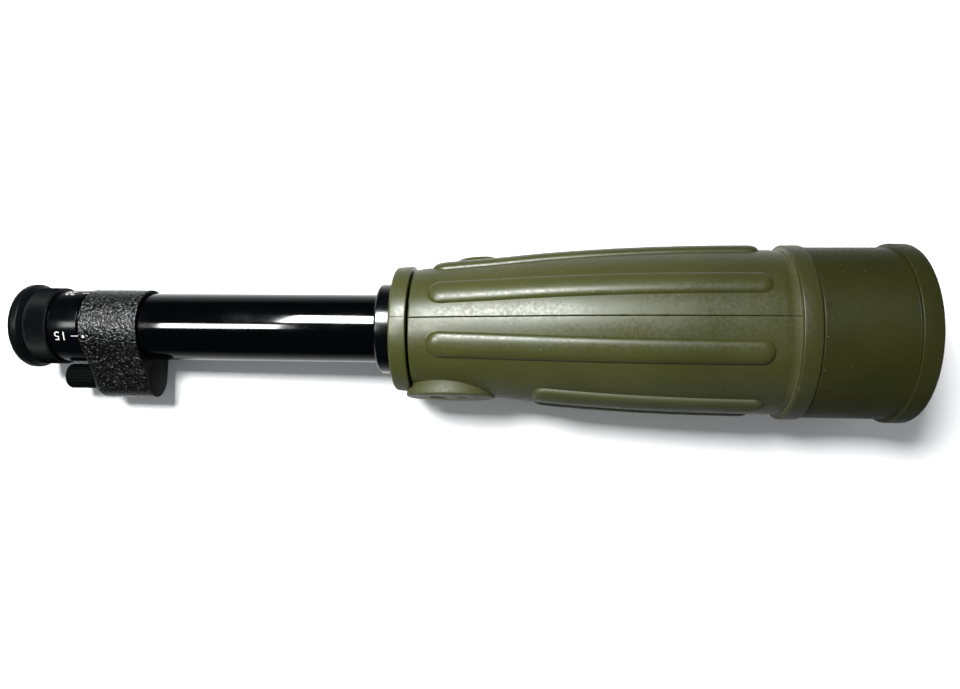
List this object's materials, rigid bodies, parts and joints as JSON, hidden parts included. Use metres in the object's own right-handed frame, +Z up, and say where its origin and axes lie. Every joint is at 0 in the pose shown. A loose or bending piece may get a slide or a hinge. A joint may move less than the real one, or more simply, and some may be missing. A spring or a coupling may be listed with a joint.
{
  "type": "spotting scope",
  "caption": "Straight zoom spotting scope in ribbed rubber armour, with a slim eyepiece tube, a turning zoom ring, a focus knob on a pod, a sliding sunshade and a flat tripod foot.",
  "frame": {"origin": "on the optical axis at half the scope's length, 4.25 mm ahead of the tripod thread's axis", "axes": "+X along the optical axis towards the objective, +Z up when the scope stands on a tripod, with the foot facing -Z, +Y to the left of somebody looking through the scope"},
  "size_m": [0.4404, 0.0864, 0.0864],
  "materials": {
    "olive_rubber": "satin",
    "gloss_black_tube": "gloss",
    "satin_black_anodised": "satin",
    "wrinkle_black": "wrinkle paint",
    "black_rubber": "matte",
    "matt_black_metal": "matte",
    "steel": "satin",
    "brass": "satin",
    "black_felt": "matte",
    "coated_glass": "coated"
  },
  "bodies": {
    "scope_body": {"main_barrel": "matt_black_metal", "body_armour_upper": "olive_rubber", "body_armour_lower": "olive_rubber", "tripod_foot_block": "matt_black_metal", "tripod_thread_insert": "steel", "foot_screw_left": "steel", "foot_screw_right": "steel", "rear_baffle": "matt_black_metal", "front_baffle": "matt_black_metal", "rear_cap": "matt_black_metal", "rear_cap_armour_ring": "olive_rubber", "rear_cap_seal": "black_rubber", "tube_lock_collar": "satin_black_anodised", "tube_seal": "black_rubber", "objective_cell": "matt_black_metal", "objective_rear_lens": "coated_glass", "objective_spacer_ring": "matt_black_metal", "objective_front_lens": "coated_glass", "objective_retaining_ring": "matt_black_metal", "objective_dress_ring": "matt_black_metal", "objective_seal": "black_rubber", "sunshade_stop_ring": "steel", "rear_tube": "gloss_black_tube", "rear_tube_light_stop": "matt_black_metal", "focus_bracket": "wrinkle_black", "bracket_grub_screw_rear": "steel", "bracket_grub_screw_front": "steel", "zoom_stop_screw": "steel", "zoom_thrust_washer": "brass", "pod_end_cap": "satin_black_anodised", "shaft_bush_rear": "brass", "shaft_bush_front": "brass"},
    "sunshade": {"sunshade_tube": "matt_black_metal", "sunshade_rubber_sleeve": "olive_rubber", "sunshade_felt_ring": "black_felt"},
    "zoom_ring": {"zoom_scale_ring": "satin_black_anodised", "zoom_grip_ring": "black_rubber", "eyecup": "black_rubber", "eyepiece_barrel": "matt_black_metal", "eye_lens": "coated_glass", "eye_lens_retaining_ring": "matt_black_metal", "field_lens": "coated_glass", "field_stop": "matt_black_metal", "zoom_drive_key": "steel"},
    "focus_knob": {"focus_knob": "satin_black_anodised", "focus_lead_screw": "steel", "knob_grub_screw": "steel"},
    "focus_carrier": {"focus_nut": "brass", "focus_link_pin": "steel", "guide_tube": "matt_black_metal", "cam_retaining_ring": "matt_black_metal"},
    "zoom_cam": {"zoom_cam_tube": "brass"},
    "front_erector": {"front_erector_cell": "matt_black_metal", "front_erector_lens": "coated_glass", "front_erector_retaining_ring": "matt_black_metal", "front_erector_guide_pin": "steel"},
    "rear_erector": {"rear_erector_cell": "matt_black_metal", "rear_erector_lens": "coated_glass", "rear_erector_retaining_ring": "matt_black_metal", "rear_erector_guide_pin": "steel"}
  },
  "joints": [
    {"name": "sunshade_slide", "type": "slide", "parent": "scope_body", "child": "sunshade", "axis": [1, 0, 0], "range_m": [0, 0.03]},
    {"name": "zoom_turn", "type": "hinge", "parent": "scope_body", "child": "zoom_ring", "pos_m": [-0.2, 0, 0], "axis": [1, 0, 0], "range_deg": [0, 288]},
    {"name": "focus_turn", "type": "hinge", "parent": "scope_body", "child": "focus_knob", "pos_m": [-0.194, 0.00964, -0.02511], "axis": [1, 0, 0], "range_deg": [-540, 540]},
    {"name": "focus_travel", "type": "slide", "parent": "scope_body", "child": "focus_carrier", "axis": [1, 0, 0], "range_m": [-0.003, 0.003]},
    {"name": "zoom_cam_turn", "type": "hinge", "parent": "focus_carrier", "child": "zoom_cam", "pos_m": [-0.12, 0, 0], "axis": [1, 0, 0], "range_deg": [0, 288]},
    {"name": "front_erector_travel", "type": "slide", "parent": "focus_carrier", "child": "front_erector", "axis": [1, 0, 0], "range_m": [0, 0.016]},
    {"name": "rear_erector_travel", "type": "slide", "parent": "focus_carrier", "child": "rear_erector", "axis": [1, 0, 0], "range_m": [-0.012, 0]}
  ],
  "couplings": [
    {"joint": "zoom_turn", "follows": "front_erector_travel", "rad_per_m": 314.16},
    {"joint": "zoom_cam_turn", "follows": "front_erector_travel", "rad_per_m": 314.16},
    {"joint": "rear_erector_travel", "follows": "front_erector_travel", "ratio": -0.75},
    {"joint": "focus_turn", "follows": "focus_travel", "rad_per_m": -3141.6}
  ]
}
